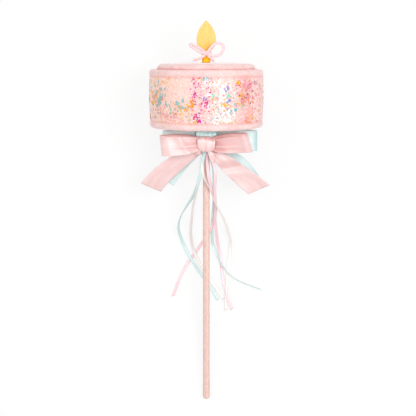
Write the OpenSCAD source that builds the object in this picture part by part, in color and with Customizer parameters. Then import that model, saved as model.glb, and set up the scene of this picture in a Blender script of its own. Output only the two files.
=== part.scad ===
// Toy wand: a stuffed cake on a covered stick, with a candle, two ribbon bows and six streamers.
// It lies on its back as on a table: X across, Y along the stick towards the cake, Z up.
// Most pieces are drawn upright round the stick, from its free end up, and then laid down.
// A place on the upright wand is [across, front, along], where front is the distance towards the viewer.

/* [Stick] */
// Diameter of the wooden dowel
dowel_d = 5; // [4:0.5:8]
// Wall of the fabric sleeve
sleeve_wall = 0.9; // [0.5:0.1:1.5]
// Length of the stick from its free end to the cake
stick_length = 281; // [240:1:320]
// Length of dowel inside the cake
dowel_insert = 38; // [20:1:42]
// Length of the hem at the free end
hem_length = 17; // [12:0.5:30]
// Thickness that the hem adds to the sleeve
hem_wall = 0.2; // [0.18:0.01:0.25]
// Depth of the two sewn rings in the hem
hem_groove = 0.3; // [0.1:0.1:0.5]
// Length of stick next to the cake that the bows cover
bow_seat = 27; // [26:1:40]

/* [Cake] */
// Diameter of the cake over its plush rolls
cake_d = 110; // [90:1:140]
// Height of the cake over its plush rolls
cake_h = 55.5; // [48:0.5:70]
// Diameter of the plush rolls
trim_d = 6.5; // [5:0.5:9]
// Depth of the side panel behind the face of the rolls
panel_inset = 1; // [0.5:0.1:2]
// Thickness of the fabric panels
panel_t = 1.2; // [0.8:0.1:2]
// Step from the face of the rolls in to the padded top
tier_inset = 8; // [4:0.5:10]
// Height of the padded top above the upper roll
tier_h = 5.2; // [3:0.1:8]
// Radius of the soft edge of the padded top
tier_edge = 4.8; // [2:0.1:7]
// Rise of the padded top towards its middle
tier_crown = 0.8; // [0.4:0.1:3]
// Swell of the underside towards the stick
base_swell = 3; // [1:0.5:4]
// Depth of the flat on which the lower roll rests
rest_flat = 1; // [0.5:0.1:1.5]

/* [Candle] */
// Diameter of the gold stub
stem_d = 8.2; // [8:0.1:10]
// Height of the gold stub above the centre of its rounded foot
stem_h = 5.9; // [5:0.1:9]
// Height of that centre above the padded top
stem_lift = 1.6; // [1.5:0.1:3]
// Width of the flame where it meets the stub
neck_w = 6; // [4:0.1:6.2]
// Length of the neck between the stub and the flame
neck_h = 3; // [2.7:0.1:5]
// Width of the flame
flame_w = 18.4; // [12:0.2:26]
// Height from the widest place of the flame to its tip
flame_rise = 18.5; // [12:0.5:28]
// Height from the neck to the widest place of the flame
flame_drop = 10.5; // [8:0.5:16]
// Thickness of each of the two flame layers
flame_t = 1.2; // [0.8:0.1:1.5]
// Diameter of the cord of the candle bow
candle_cord_d = 2.8; // [2:0.1:2.8]

/* [Bows] */
// Width of the satin ribbon
ribbon_w = 20; // [15:0.5:22]
// Thickness of the satin ribbon
ribbon_t = 0.5; // [0.3:0.1:0.8]
// Width of the ribbon where it is gathered into a bow
gather_w = 12; // [8:0.5:14]
// Thickness that the wound ribbon adds to the stick
band_t = 1.05; // [0.6:0.05:1.6]
// Distance from the cake down to the middle of the pink knot
pink_drop = 15.4; // [13:0.2:18]
// Width of the pink knot
knot_w = 16.4; // [12:0.2:20]
// Height of the pink knot
knot_h = 13.5; // [10:0.5:16]
// Thickness of the pink knot
knot_t = 7; // [4:0.5:10]
// Reach of the left pink loop from the stick
pink_left_reach = 44; // [34:1:56]
// Reach of the right pink loop from the stick
pink_right_reach = 44.5; // [34:0.5:56]
// Depth of the pink loops from front to back
pink_depth = 12; // [6:0.5:13]
// Distance from the cake down to the middle of the gathered mint ribbon
mint_drop = 10.5; // [9:0.5:11]
// Width of the gathered mint ribbon
mint_gather_w = 19; // [14:0.5:24]
// Height of the gathered mint ribbon
mint_gather_h = 13; // [8:0.5:13]
// Thickness of the gathered mint ribbon
mint_gather_t = 3.8; // [2:0.2:4.4]
// Reach of the left mint loop from the stick
mint_left_reach = 42; // [34:1:56]
// Reach of the right mint loop from the stick
mint_right_reach = 50; // [34:1:56]
// Depth of the mint loops from front to back
mint_depth = 8; // [4:0.5:9]
// Reach of the left pink tail from the stitch
pink_left_tail = 67; // [50:1:80]
// Reach of the right pink tail from the stitch
pink_right_tail = 66; // [50:1:80]
// Reach of the left mint tail from the stitch
mint_left_tail = 52; // [40:1:70]
// Reach of the right mint tail from the stitch
mint_right_tail = 49; // [40:1:70]
// Drop of the tips of the tails
tail_droop = 9; // [4:0.5:14]

/* [Streamers] */
// Width of a streamer
streamer_w = 3; // [2:0.2:4]
// Thickness of a streamer
streamer_t = 0.35; // [0.2:0.05:0.4]
// Height from one streamer to the next in the stack
streamer_pitch = 0.6; // [0.55:0.05:0.8]

/* [Hidden] */
$fn = 96;

// Colours
velvet = "#f7d3cf";
glitter = "#f9c9c0";
wood = "#dcc19a";
fill_white = "#f5f3ef";
sleeve_peach = "#f3bfae";
flame_gold = "#fbd46a";
stub_gold = "#f2b21c";
cord_pink = "#f9d3dc";
satin_pink = "#f6c3c1";
satin_mint = "#c5e3df";
ivory = "#f1e6df";
thread = "#f3d9d6";

// Clearances between neighbours
seam_gap = 0.1;
fit_gap = 0.1;
rest_gap = 0.2;
stack_gap = 0.3;
swing_gap = 0.3;
overrun = 5;

// Stick
stick_r = dowel_d / 2 + sleeve_wall;
cap_r = stick_r + hem_wall;
hem_ring_shares = [0.5, 0.94];
hem_ring_r = 0.4;
seat_w = stick_length - bow_seat;
sleeve_tuck = 4;

// Cake
roll_r = trim_d / 2;
roll_c = cake_d / 2 - roll_r;
panel_r = cake_d / 2 - panel_inset;
tier_r = cake_d / 2 - tier_inset;
tier_flat_r = tier_r - tier_edge;
tier_top = cake_h + tier_h;
tier_bottom = cake_h - trim_d;
base_edge = trim_d / 4;
fill_r = panel_r - panel_t - seam_gap;
fill_bottom = base_edge + panel_t + seam_gap;
fill_top = tier_bottom - seam_gap;

// Candle, as places along the wand
stem_r = stem_d / 2;
stem_round = stem_r / 2;
candle_w = stick_length + tier_top + tier_crown + stem_lift;
stem_top = candle_w + stem_h;
neck_w_top = stem_top + neck_h;
flame_mid = neck_w_top + flame_drop;
tip_w = flame_mid + flame_rise;
tab_depth_share = 0.8;
tab_floor = stem_top - stem_h * tab_depth_share;
wrap_r = norm([neck_w / 2, flame_t]) + fit_gap + candle_cord_d / 2;
wrap_w = stem_top + fit_gap + candle_cord_d / 2;
cord_knot_share = 0.8;
cord_knot_r = candle_cord_d * cord_knot_share;
cord_knot_front = wrap_r + candle_cord_d / 4;

// Tilt of the wand on the table, from the end cap and the lower roll
roll_w = stick_length + roll_r - cap_r;
tilt = atan2(roll_c, roll_w) + asin((roll_r - rest_flat - cap_r) / norm([roll_c, roll_w]));
lay_y = -(tip_w * cos(tilt) + cap_r * cos(tilt) - cap_r) / 2;
lay_z = cap_r - cap_r * sin(tilt);

// Bows, as places along the wand and in front of its axis
band_r = cap_r + band_t;
band_margin = 2;
knot_w_mid = stick_length - pink_drop;
mint_w_mid = stick_length - mint_drop;
mint_front = band_r + rest_gap;
mint_mid = mint_front + mint_gather_t / 2;
mint_sweep_back = 5;
left_loop_sag = -1.1;
right_loop_sag = 1.8;
mint_loop_sag = -2.8;
loop_pinch = ribbon_t;
knot_margin = 1.2;

// Stitch on which tails and streamers swing
pivot_w = knot_w_mid - knot_h / 2 + knot_margin;
pivot = laid([0, 0, pivot_w]);
stitch_r = 0.8;
ribbon_slope = tan(tilt);
streamer_count = 6;
stack_base = pivot[2] + band_r / cos(tilt);
tail_pitch = ribbon_t + stack_gap;
mint_left_z = stack_base + stack_gap + ribbon_t / 2;
mint_right_z = mint_left_z + tail_pitch;
streamer_z = mint_right_z + ribbon_t / 2 + 2 * stack_gap + streamer_t / 2;
pink_left_z = streamer_z + streamer_count * streamer_pitch + stack_gap / 2 + ribbon_t / 2;
pink_right_z = pink_left_z + tail_pitch;
stack_top = pink_right_z + ribbon_t / 2 + stack_gap;
knot_back = (stack_top - pivot[2]) * cos(tilt);
pink_mid = knot_back + knot_t / 2;
tail_root = stitch_r + stack_gap;
tail_gather = 5;
tail_spread_share = 0.8;
loop_spread_share = 0.6;
tail_slant = 10;

// Bearings of the tails at the stitch and at the tip, in degrees to the right of straight down
pink_left_bearings = [-70, -55];
pink_right_bearings = [52, 52];
mint_left_bearings = [-66, -58];
mint_right_bearings = [76, 51];

// Streamer routes: distances from the stitch, and the bearing of each streamer there
streamer_steps = [1.2, 10, 20, 30, 40, 50, 60, 72, 84, 96, 108, 120, 136, 154, 165.5];
streamer_fall_shares = [1, 1, 1, 1, 0.93, 0.79, 0.6, 0.37, 0.17, 0.05, 0, 0, 0, 0, 0];
mint_left_route = [-16, -16, -14, -12, -14, -16, -19, -21, -20, -15, -10, -5, 0.5, 4.5];
ivory_left_route = [-24, -22, -18, -14, -13, -13, -13, -12, -11, -9, -6, -2, 2.5, 6.6];
pink_right_route = [32, 28, 23, 17, 12, 10, 9, 7, 7, 7, 7.5, 7.5, 7.5, 8.3, 9.2];
pink_left_route = [4, 4, 4, 5, 7.5, 9, 8.3, 6, 2, -3, -7, -10, -12, -13];
mint_right_route = [20, 20, 17, 13, 11, 9, 7, 5, 4, 4, 6, 8, 13, 21.5];
ivory_right_route = [-12, -10, -7, -2, 5, 8.3, 11, 14, 15, 15, 13, 11, 9, 7.5, 7];

// Candle bow routes, as [across, front, along] from the middle of the knot
candle_loop_left_route = [
    [-1.9, -0.8, 1.6], [-5.2, -1.4, 4], [-9, -1.8, 6.2], [-12.8, -1.4, 8.2], [-15, 0.2, 8.2],
    [-14.6, 1.6, 6.4], [-11, 2.2, 4], [-6.8, 2.2, 1.6], [-2.4, 1.2, -0.6]
];
candle_loop_right_route = [
    [2, 0.6, 1.3], [4.4, 0.6, 5.2], [8, 0.4, 8.6], [12, 0, 9.6], [15.6, -0.2, 8],
    [16.8, -0.2, 4.6], [15, 0, 0.6], [11, 0.4, -2.2], [6.4, 0.6, -2.4], [2.2, 0.6, -1.2]
];
candle_tail_left_route = [[-2.2, -0.9, -2.7], [-5, -0.8, -4.1], [-8.6, -1.8, -5.4], [-12.2, -3.4, -6.6]];
candle_tail_right_route = [[1.9, 0, -3.2], [4.2, -0.8, -4.4], [5.4, -2.2, -5.8], [6.2, -4, -7]];

// Counts
loop_rings = 25;
tail_rings = 13;
cord_sides = 8;
pillow_sides = 24;
pillow_rings = 6;
swell_steps = 8;
edge_steps = 6;

// Shape of the gathered ribbon and of the knot
pillow_turn = 84;
pillow_wall_share = 0.3;

// Slope from which a cord takes its sides from the other axis
steep = 30;

// Place of a point of the upright wand once it is laid down
function laid(p) = [
    p[0],
    lay_y - p[1] * sin(tilt) + p[2] * cos(tilt),
    lay_z + p[1] * cos(tilt) + p[2] * sin(tilt)
];

// Lays the upright wand on the table; its front is the side towards -Y while upright
module lay() {
    translate([0, lay_y, lay_z])
        rotate([tilt - 90, 0, 0])
            children();
}

// Stands a piece of the cake on the stick
module on_cake() {
    translate([0, 0, stick_length])
        children();
}

// Everything under the table top
module under_table() {
    translate([-cake_d, -tip_w, -cake_d])
        cube([2 * cake_d, 2 * tip_w, cake_d]);
}

// Skins: a solid through rings of points, each with the same number of points
function side_faces(rings, sides) = [
    for (i = [0:rings - 2])
        for (j = [0:sides - 1])
            let (a = i * sides + j, b = i * sides + (j + 1) % sides)
                each [[a, a + sides, b], [b, a + sides, b + sides]]
];
function cap_faces(first, sides, flip) = [
    for (j = [1:sides - 2])
        flip ? [first, first + j, first + j + 1] : [first, first + j + 1, first + j]
];
module skin(rings) {
    sides = len(rings[0]);
    count = len(rings);
    polyhedron(
        points = [for (ring = rings) each ring],
        faces = concat(
            side_faces(count, sides),
            cap_faces(0, sides, true),
            cap_faces((count - 1) * sides, sides, false)
        ),
        convexity = 6
    );
}

function unit(v) = v / norm(v);
function front_side(p) = [p[0], -p[1], p[2]];

// Direction of a route at one of its points
function heading(route, i) = unit(route[min(i + 1, len(route) - 1)] - route[max(i - 1, 0)]);

// Round cord along a route
module cord(route, d) {
    skin([
        for (i = [0:len(route) - 1])
            let (
                along = heading(route, i),
                side = unit(cross(along, abs(along[1]) < cos(steep) ? [0, 1, 0] : [0, 0, 1])),
                up = cross(side, along)
            )
                [for (j = [0:cord_sides - 1])
                    let (a = 360 * j / cord_sides)
                        route[i] + (side * cos(a) + up * sin(a)) * d / 2]
    ]);
}

// Bow loop: out from the knot, round its end and back
function loop_place(s, side, root, reach, mid, depth, sweep, w, sag) = front_side([
    side * (root + (reach - root) * sin(180 * s)),
    mid - sweep * sin(180 * s) + depth / 2 * sin(360 * s) + loop_pinch * (1 - 2 * s),
    w + sag * sin(180 * s)
]);
module bow_loop(side, root, reach, mid, depth, sweep, w, sag) {
    route = [
        for (i = [0:loop_rings - 1])
            loop_place(i / (loop_rings - 1), side, root, reach, mid, depth, sweep, w, sag)
    ];
    skin([
        for (i = [0:loop_rings - 1])
            let (
                along = heading(route, i),
                across = [0, 0, 1],
                face = unit(cross(along, across)) * ribbon_t / 2,
                spread = sin(90 * min(1, sin(180 * i / (loop_rings - 1)) / loop_spread_share)),
                half = across * (gather_w + (ribbon_w - gather_w) * spread) / 2
            )
                [
                    route[i] + half + face,
                    route[i] - half + face,
                    route[i] - half - face,
                    route[i] + half - face
                ]
    ]);
}

// Bow tail: fans out from the stitch, droops and ends in a slanting cut
module bow_tail(bearings, reach, height) {
    skin([
        for (i = [0:tail_rings - 1])
            let (
                s = i / (tail_rings - 1),
                r = tail_root + (reach - tail_root) * s,
                bearing = bearings[0] + (bearings[1] - bearings[0]) * s,
                out = [sin(bearing), -cos(bearing), 0],
                side = [cos(bearing), sin(bearing), 0] * sign(bearing),
                spread = sin(90 * min(1, s / tail_spread_share)),
                half = (tail_gather + (ribbon_w - tail_gather) * spread) / 2,
                z = height - ribbon_slope * r - tail_droop * s * s,
                middle = [pivot[0], pivot[1], z] + out * r,
                edge = side * half + out * (tail_slant / 2 * s * s),
                up = [0, 0, ribbon_t / 2]
            )
                bearing > 0
                    ? [middle + edge + up, middle - edge + up, middle - edge - up, middle + edge - up]
                    : [middle - edge + up, middle + edge + up, middle + edge - up, middle - edge - up]
    ]);
}

// Streamer: a flat cord that falls from the stitch to the table, in its own layer of the stack
function fall(r) = lookup(r, [
    for (i = [0:len(streamer_steps) - 1])
        [streamer_steps[i], streamer_fall_shares[i]]
]);
function streamer_height(r, layer) =
    streamer_t + (streamer_z - ribbon_slope * r - streamer_t) * fall(r) + layer * streamer_pitch;
function streamer_plan(bearings) = [
    for (i = [0:len(bearings) - 1])
        streamer_steps[i] * [sin(bearings[i]), -cos(bearings[i]), 0]
];
streamer_section_shares = [
    [0.5, 0.25], [0.25, 0.5], [-0.25, 0.5], [-0.5, 0.25],
    [-0.5, -0.25], [-0.25, -0.5], [0.25, -0.5], [0.5, -0.25]
];
module streamer(bearings, layer) {
    plan = streamer_plan(bearings);
    skin([
        for (i = [0:len(plan) - 1])
            let (along = heading(plan, i), side = [-along[1], along[0], 0])
                [for (share = streamer_section_shares)
                    let (p = plan[i] + side * share[0] * streamer_w)
                        [
                            pivot[0] + p[0],
                            pivot[1] + p[1],
                            streamer_height(norm(p), layer) + share[1] * streamer_t
                        ]]
    ]);
}

// Gathered ribbon or knot: flat at the back, with a crowned front
function squared(a) = sign(a) * sqrt(abs(a));
module pillow(w, h, t) {
    skin([
        for (i = [0:pillow_rings])
            let (
                a = max(0, pillow_turn * (i - 1) / (pillow_rings - 1)),
                size = sqrt(cos(a)),
                rise = i == 0 ? 0 : 1
            )
                [for (j = [0:pillow_sides - 1])
                    let (b = 360 * j / pillow_sides)
                        [
                            w / 2 * size * squared(cos(b)),
                            -t * rise * (pillow_wall_share + (1 - pillow_wall_share) * sin(a)),
                            h / 2 * size * squared(sin(b))
                        ]]
    ]);
}

// Stick
module stick_dowel() {
    color(wood)
        lay()
            translate([0, 0, cap_r])
                cylinder(d = dowel_d, h = stick_length + dowel_insert - cap_r);
}

module stick_sleeve() {
    color(sleeve_peach)
        lay()
            difference() {
                union() {
                    translate([0, 0, hem_length])
                        cylinder(r = stick_r, h = seat_w - hem_length);
                    translate([0, 0, seat_w])
                        cylinder(r = cap_r, h = bow_seat + sleeve_tuck);
                }
                translate([0, 0, -overrun])
                    cylinder(d = dowel_d, h = tip_w);
            }
}

module stick_end_cap() {
    color(sleeve_peach)
        lay()
            difference() {
                union() {
                    translate([0, 0, cap_r])
                        sphere(r = cap_r);
                    translate([0, 0, cap_r])
                        cylinder(r = cap_r, h = hem_length - cap_r);
                }
                translate([0, 0, cap_r])
                    cylinder(d = dowel_d, h = hem_length);
                for (share = hem_ring_shares)
                    translate([0, 0, hem_length * share])
                        rotate_extrude()
                            translate([cap_r + hem_ring_r - hem_groove, 0])
                                circle(r = hem_ring_r);
            }
}

// Cake
// Line from the axis out to an edge, raised towards the axis
function swelling(edge, height, rise) = [
    for (i = [0:swell_steps])
        let (r = edge * i / swell_steps)
            [r, height + rise * (1 - pow(r / edge, 2))]
];
// Quarter round from the side up to the top
function soft_edge(r, height, round) = [
    for (i = [0:edge_steps - 1])
        let (a = 90 * i / edge_steps)
            [r + round * cos(a), height + round * sin(a)]
];
function backwards(points) = [for (i = [len(points) - 1:-1:0]) points[i]];

module roll_section(gap) {
    translate([roll_c, 0])
        circle(r = roll_r + gap);
}

module rolls_section(gap) {
    translate([0, roll_r])
        roll_section(gap);
    translate([0, cake_h - roll_r])
        roll_section(gap);
}

module head_stuffing() {
    color(fill_white)
        lay()
            difference() {
                on_cake()
                    rotate_extrude()
                        difference() {
                            polygon(concat(
                                swelling(roll_c, fill_bottom, -base_swell),
                                [[fill_r, fill_bottom], [fill_r, fill_top], [0, fill_top]]
                            ));
                            rolls_section(seam_gap);
                        }
                cylinder(r = cap_r + fit_gap, h = stick_length + sleeve_tuck + fit_gap);
                cylinder(d = dowel_d, h = stick_length + dowel_insert);
            }
}

module side_panel() {
    color(glitter)
        lay()
            on_cake()
                rotate_extrude()
                    difference() {
                        translate([panel_r - panel_t, roll_r])
                            square([panel_t, cake_h - trim_d]);
                        rolls_section(seam_gap);
                    }
}

module base_panel() {
    color(velvet)
        lay()
            difference() {
                on_cake()
                    rotate_extrude()
                        difference() {
                            polygon(concat(
                                swelling(roll_c, base_edge, -base_swell),
                                backwards(swelling(roll_c, base_edge + panel_t, -base_swell))
                            ));
                            rolls_section(seam_gap);
                        }
                cylinder(r = cap_r + fit_gap, h = tip_w);
            }
}

module icing_top() {
    color(velvet)
        lay()
            difference() {
                on_cake()
                    rotate_extrude()
                        difference() {
                            polygon(concat(
                                [[0, tier_bottom], [tier_r, tier_bottom]],
                                soft_edge(tier_flat_r, tier_top - tier_edge, tier_edge),
                                backwards(swelling(tier_flat_r, tier_top, tier_crown))
                            ));
                            rolls_section(seam_gap);
                        }
                translate([0, 0, candle_w])
                    sphere(r = stem_r + swing_gap);
            }
}

module plush_roll(height) {
    on_cake()
        translate([0, 0, height])
            rotate_extrude()
                roll_section(0);
}

module upper_trim() {
    color(velvet)
        lay()
            plush_roll(cake_h - roll_r);
}

module lower_trim() {
    color(velvet)
        difference() {
            lay()
                plush_roll(roll_r);
            under_table();
        }
}

// Candle
module flame_half(up, height) {
    a = flame_w / 2;
    tip = up ? 0 : neck_w / 2;
    r = (pow(a - tip, 2) + pow(height, 2)) / (2 * (a - tip));
    intersection() {
        translate([a - r, 0])
            circle(r = r);
        translate([r - a, 0])
            circle(r = r);
        translate([-a, up ? 0 : -height])
            square([flame_w, height]);
    }
}

module flame_layer() {
    rotate([90, 0, 0])
        linear_extrude(height = flame_t) {
            translate([0, flame_mid]) {
                flame_half(true, flame_rise);
                flame_half(false, flame_drop);
            }
            translate([-neck_w / 2, tab_floor])
                square([neck_w, neck_w_top - tab_floor]);
        }
}

module flame_front() {
    color(flame_gold)
        lay()
            flame_layer();
}

module flame_back() {
    color(flame_gold)
        lay()
            translate([0, flame_t, 0])
                flame_layer();
}

module candle_stem() {
    color(stub_gold)
        lay()
            difference() {
                union() {
                    translate([0, 0, candle_w])
                        sphere(r = stem_r);
                    translate([0, 0, candle_w])
                        rotate_extrude() {
                            square([stem_r, stem_h - stem_round]);
                            square([stem_r - stem_round, stem_h]);
                            translate([stem_r - stem_round, stem_h - stem_round])
                                circle(r = stem_round);
                        }
                }
                translate([-neck_w / 2 - fit_gap, -flame_t - fit_gap, tab_floor - fit_gap])
                    cube([neck_w + 2 * fit_gap, 2 * (flame_t + fit_gap), stem_h + overrun]);
            }
}

module at_cord_knot() {
    translate([0, -cord_knot_front, wrap_w])
        children();
}

module candle_bow_knot() {
    color(cord_pink)
        lay() {
            translate([0, 0, wrap_w])
                rotate_extrude()
                    translate([wrap_r, 0])
                        circle(d = candle_cord_d);
            at_cord_knot()
                sphere(r = cord_knot_r);
        }
}

module candle_cord(route) {
    color(cord_pink)
        lay()
            at_cord_knot()
                cord([for (p = route) front_side(p)], candle_cord_d);
}

module candle_bow_loop_left() {
    candle_cord(candle_loop_left_route);
}

module candle_bow_loop_right() {
    candle_cord(candle_loop_right_route);
}

module candle_bow_tail_left() {
    candle_cord(candle_tail_left_route);
}

module candle_bow_tail_right() {
    candle_cord(candle_tail_right_route);
}

// Bows
module bow_band() {
    color(satin_pink)
        lay()
            translate([0, 0, seat_w + band_margin])
                difference() {
                    cylinder(r = band_r, h = bow_seat - base_swell - 2 * band_margin);
                    translate([0, 0, -overrun])
                        cylinder(r = cap_r, h = bow_seat + 2 * overrun);
                }
}

module bow_stitch() {
    color(thread)
        translate([pivot[0], pivot[1], stack_base + stack_gap])
            cylinder(r = stitch_r, h = stack_top - stack_base - 2 * stack_gap);
}

module mint_gather() {
    color(satin_mint)
        lay()
            translate([0, -mint_front, mint_w_mid])
                pillow(mint_gather_w, mint_gather_h, mint_gather_t);
}

module mint_loop(side, reach) {
    color(satin_mint)
        lay()
            bow_loop(side, mint_gather_w / 2 + rest_gap, reach, mint_mid, mint_depth, mint_sweep_back,
                mint_w_mid, mint_loop_sag);
}

module mint_loop_left() {
    mint_loop(-1, mint_left_reach);
}

module mint_loop_right() {
    mint_loop(1, mint_right_reach);
}

module mint_tail_left() {
    color(satin_mint)
        bow_tail(mint_left_bearings, mint_left_tail, mint_left_z);
}

module mint_tail_right() {
    color(satin_mint)
        bow_tail(mint_right_bearings, mint_right_tail, mint_right_z);
}

module pink_knot() {
    color(satin_pink)
        lay()
            translate([0, -knot_back, knot_w_mid])
                pillow(knot_w, knot_h, knot_t);
}

module pink_loop(side, reach, sag) {
    color(satin_pink)
        lay()
            bow_loop(side, knot_w / 2 + rest_gap, reach, pink_mid, pink_depth, 0, knot_w_mid, sag);
}

module pink_loop_left() {
    pink_loop(-1, pink_left_reach, left_loop_sag);
}

module pink_loop_right() {
    pink_loop(1, pink_right_reach, right_loop_sag);
}

module pink_tail_left() {
    color(satin_pink)
        bow_tail(pink_left_bearings, pink_left_tail, pink_left_z);
}

module pink_tail_right() {
    color(satin_pink)
        bow_tail(pink_right_bearings, pink_right_tail, pink_right_z);
}

// Streamers, from the lowest layer of the stack to the highest
module streamer_mint_right() {
    color(satin_mint)
        streamer(mint_right_route, 0);
}

module streamer_pink_left() {
    color(satin_pink)
        streamer(pink_left_route, 1);
}

module streamer_pink_right() {
    color(satin_pink)
        streamer(pink_right_route, 2);
}

module streamer_ivory_left() {
    color(ivory)
        streamer(ivory_left_route, 3);
}

module streamer_mint_left() {
    color(satin_mint)
        streamer(mint_left_route, 4);
}

module streamer_ivory_right() {
    color(ivory)
        streamer(ivory_right_route, 5);
}

stick_dowel();
stick_sleeve();
stick_end_cap();
head_stuffing();
side_panel();
base_panel();
icing_top();
upper_trim();
lower_trim();
candle_stem();
flame_front();
flame_back();
candle_bow_knot();
candle_bow_loop_left();
candle_bow_loop_right();
candle_bow_tail_left();
candle_bow_tail_right();
bow_band();
bow_stitch();
mint_gather();
mint_loop_left();
mint_loop_right();
mint_tail_left();
mint_tail_right();
pink_knot();
pink_loop_left();
pink_loop_right();
pink_tail_left();
pink_tail_right();
streamer_pink_left();
streamer_pink_right();
streamer_ivory_left();
streamer_ivory_right();
streamer_mint_left();
streamer_mint_right();
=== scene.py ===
"""Looks of the toy wand: stuffed cake, flame candle, satin bows, streamers and covered stick."""

import math
from functools import partialmethod

import bpy
import numpy as np
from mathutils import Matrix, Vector


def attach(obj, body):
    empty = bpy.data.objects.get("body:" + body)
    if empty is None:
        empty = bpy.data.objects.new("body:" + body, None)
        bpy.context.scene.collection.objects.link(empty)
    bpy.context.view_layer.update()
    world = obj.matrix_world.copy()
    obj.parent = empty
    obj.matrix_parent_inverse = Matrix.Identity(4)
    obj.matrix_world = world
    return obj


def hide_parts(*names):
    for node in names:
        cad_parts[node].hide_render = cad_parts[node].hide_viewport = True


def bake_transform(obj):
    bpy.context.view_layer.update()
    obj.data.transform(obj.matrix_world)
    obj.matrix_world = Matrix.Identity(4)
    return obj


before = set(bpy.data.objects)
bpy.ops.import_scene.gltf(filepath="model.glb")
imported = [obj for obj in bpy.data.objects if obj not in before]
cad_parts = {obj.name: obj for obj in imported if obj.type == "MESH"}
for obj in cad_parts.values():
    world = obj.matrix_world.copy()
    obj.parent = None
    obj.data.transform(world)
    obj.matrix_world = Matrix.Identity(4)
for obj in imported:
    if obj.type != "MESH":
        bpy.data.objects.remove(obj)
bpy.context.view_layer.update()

TURN = 2 * math.pi
MM = 0.001

# Sizes of the part's source, in millimetres
STICK_R = 3.4
HEM_R = 3.6
STICK_LENGTH = 281
HEM_LENGTH = 17
SEAT_W = 254
BAND_R = 4.65
CAKE_H = 55.5
ROLL_R = 3.25
ROLL_C = 51.75
REST_FLAT = 1
PANEL_R = 54
TIER_R = 47
TIER_EDGE = 4.8
TIER_TOP = 60.7
TIER_CROWN = 0.8
BASE_EDGE = 1.625
BASE_SWELL = 3
CANDLE_W = 344.1
STEM_R = 4.1
STEM_TOP = 350
NECK_HALF = 3
NECK_TOP = 353
FLAME_MID = 363.5
FLAME_HALF = 9.2
TIP_W = 382
FLAME_T = 1.2
FLAME_CREASE = 1.8
CORD_D = 2.8
RIBBON_W = 20
RIBBON_T = 0.5
STREAMER_W = 3
STREAMER_T = 0.35
STREAMER_PITCH = 0.6
STACK_GAP = 0.3
KNOT_W = 16.4
KNOT_H = 13.5
KNOT_T = 7
KNOT_MID = STICK_LENGTH - 15.4
MINT_GATHER_W = 19
MINT_GATHER_H = 13
MINT_GATHER_T = 3.8
MINT_MID = STICK_LENGTH - 10.5
MINT_FRONT = BAND_R + 0.2

# The wand lies on the hem of the stick and on the lower roll of the cake
ROLL_W = STICK_LENGTH + ROLL_R - HEM_R
TILT = math.atan2(ROLL_C, ROLL_W) + math.asin((ROLL_R - REST_FLAT - HEM_R) / math.hypot(ROLL_C, ROLL_W))
LAY_Y = -(TIP_W * math.cos(TILT) + HEM_R * math.cos(TILT) - HEM_R) / 2
LAY_Z = HEM_R - HEM_R * math.sin(TILT)
SLOPE = math.tan(TILT)

# Heights of the layers on the stitch, from the wound band up to the knot
PIVOT_W = KNOT_MID - KNOT_H / 2 + 1.2
PIVOT = np.array([0, LAY_Y + PIVOT_W * math.cos(TILT), LAY_Z + PIVOT_W * math.sin(TILT)])
STACK_BASE = PIVOT[2] + BAND_R / math.cos(TILT)
MINT_LEFT_Z = STACK_BASE + STACK_GAP + RIBBON_T / 2
MINT_RIGHT_Z = MINT_LEFT_Z + RIBBON_T + STACK_GAP
STREAMER_Z = MINT_RIGHT_Z + RIBBON_T / 2 + 2 * STACK_GAP + STREAMER_T / 2
PINK_LEFT_Z = STREAMER_Z + 6 * STREAMER_PITCH + STACK_GAP / 2 + RIBBON_T / 2
PINK_RIGHT_Z = PINK_LEFT_Z + RIBBON_T + STACK_GAP
KNOT_BACK = (PINK_RIGHT_Z + RIBBON_T / 2 + STACK_GAP - PIVOT[2]) * math.cos(TILT)

# Places


def laid(across, front, along):
    """Points of the row frame, in metres, of places on the upright wand, in millimetres."""
    across, front, along = np.broadcast_arrays(across, front, along)
    y = LAY_Y - front * math.sin(TILT) + along * math.cos(TILT)
    z = LAY_Z + front * math.cos(TILT) + along * math.sin(TILT)
    return MM * np.stack([across, y, z], -1)


def cake(r, turn, height):
    """Points of the cake; turn is 0 on its upper side and grows to the right."""
    return laid(r * np.sin(turn), r * np.cos(turn), STICK_LENGTH + height)


def ease(x):
    x = np.clip(x, 0, 1)
    return x * x * (3 - 2 * x)


def bell(x):
    return np.exp(-(x**2))


def ripple(points, length, seed):
    """Smooth random waves from about -1 to 1 at points in metres; length is in millimetres."""
    rng = np.random.default_rng(seed)
    total = np.zeros(points.shape[:-1])
    for _ in range(8):
        direction = rng.normal(size=3)
        direction *= TURN * rng.uniform(0.7, 1.4) / (length * MM * np.linalg.norm(direction))
        total += np.sin(points @ direction + rng.uniform(0, TURN))
    return total / 3.5


def lengths(path):
    """Distance along a path at each of its points."""
    return np.r_[0, np.cumsum(np.linalg.norm(np.diff(path[:, :3], axis=0), axis=1))]


def spline(points, step):
    """Points about step apart on a smooth curve through the given ones; columns after the third follow along."""
    p = np.asarray(points, float)
    p = np.vstack([2 * p[0] - p[1], p, 2 * p[-1] - p[-2]])
    t = np.linspace(0, 1, 24, endpoint=False)[:, None]
    spans = [
        0.5 * (2 * b + (c - a) * t + (2 * a - 5 * b + 4 * c - d) * t**2 + (3 * b - a - 3 * c + d) * t**3)
        for a, b, c, d in zip(p, p[1:], p[2:], p[3:])
    ]
    fine = np.vstack([*spans, p[-2:-1]])
    reach = lengths(fine)
    even = np.linspace(0, reach[-1], max(3, round(reach[-1] / step) + 1))
    return np.stack([np.interp(even, reach, column) for column in fine.T], -1)


# Meshes


def unit(v):
    return v / np.maximum(np.linalg.norm(v, axis=-1, keepdims=True), 1e-12)


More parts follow.
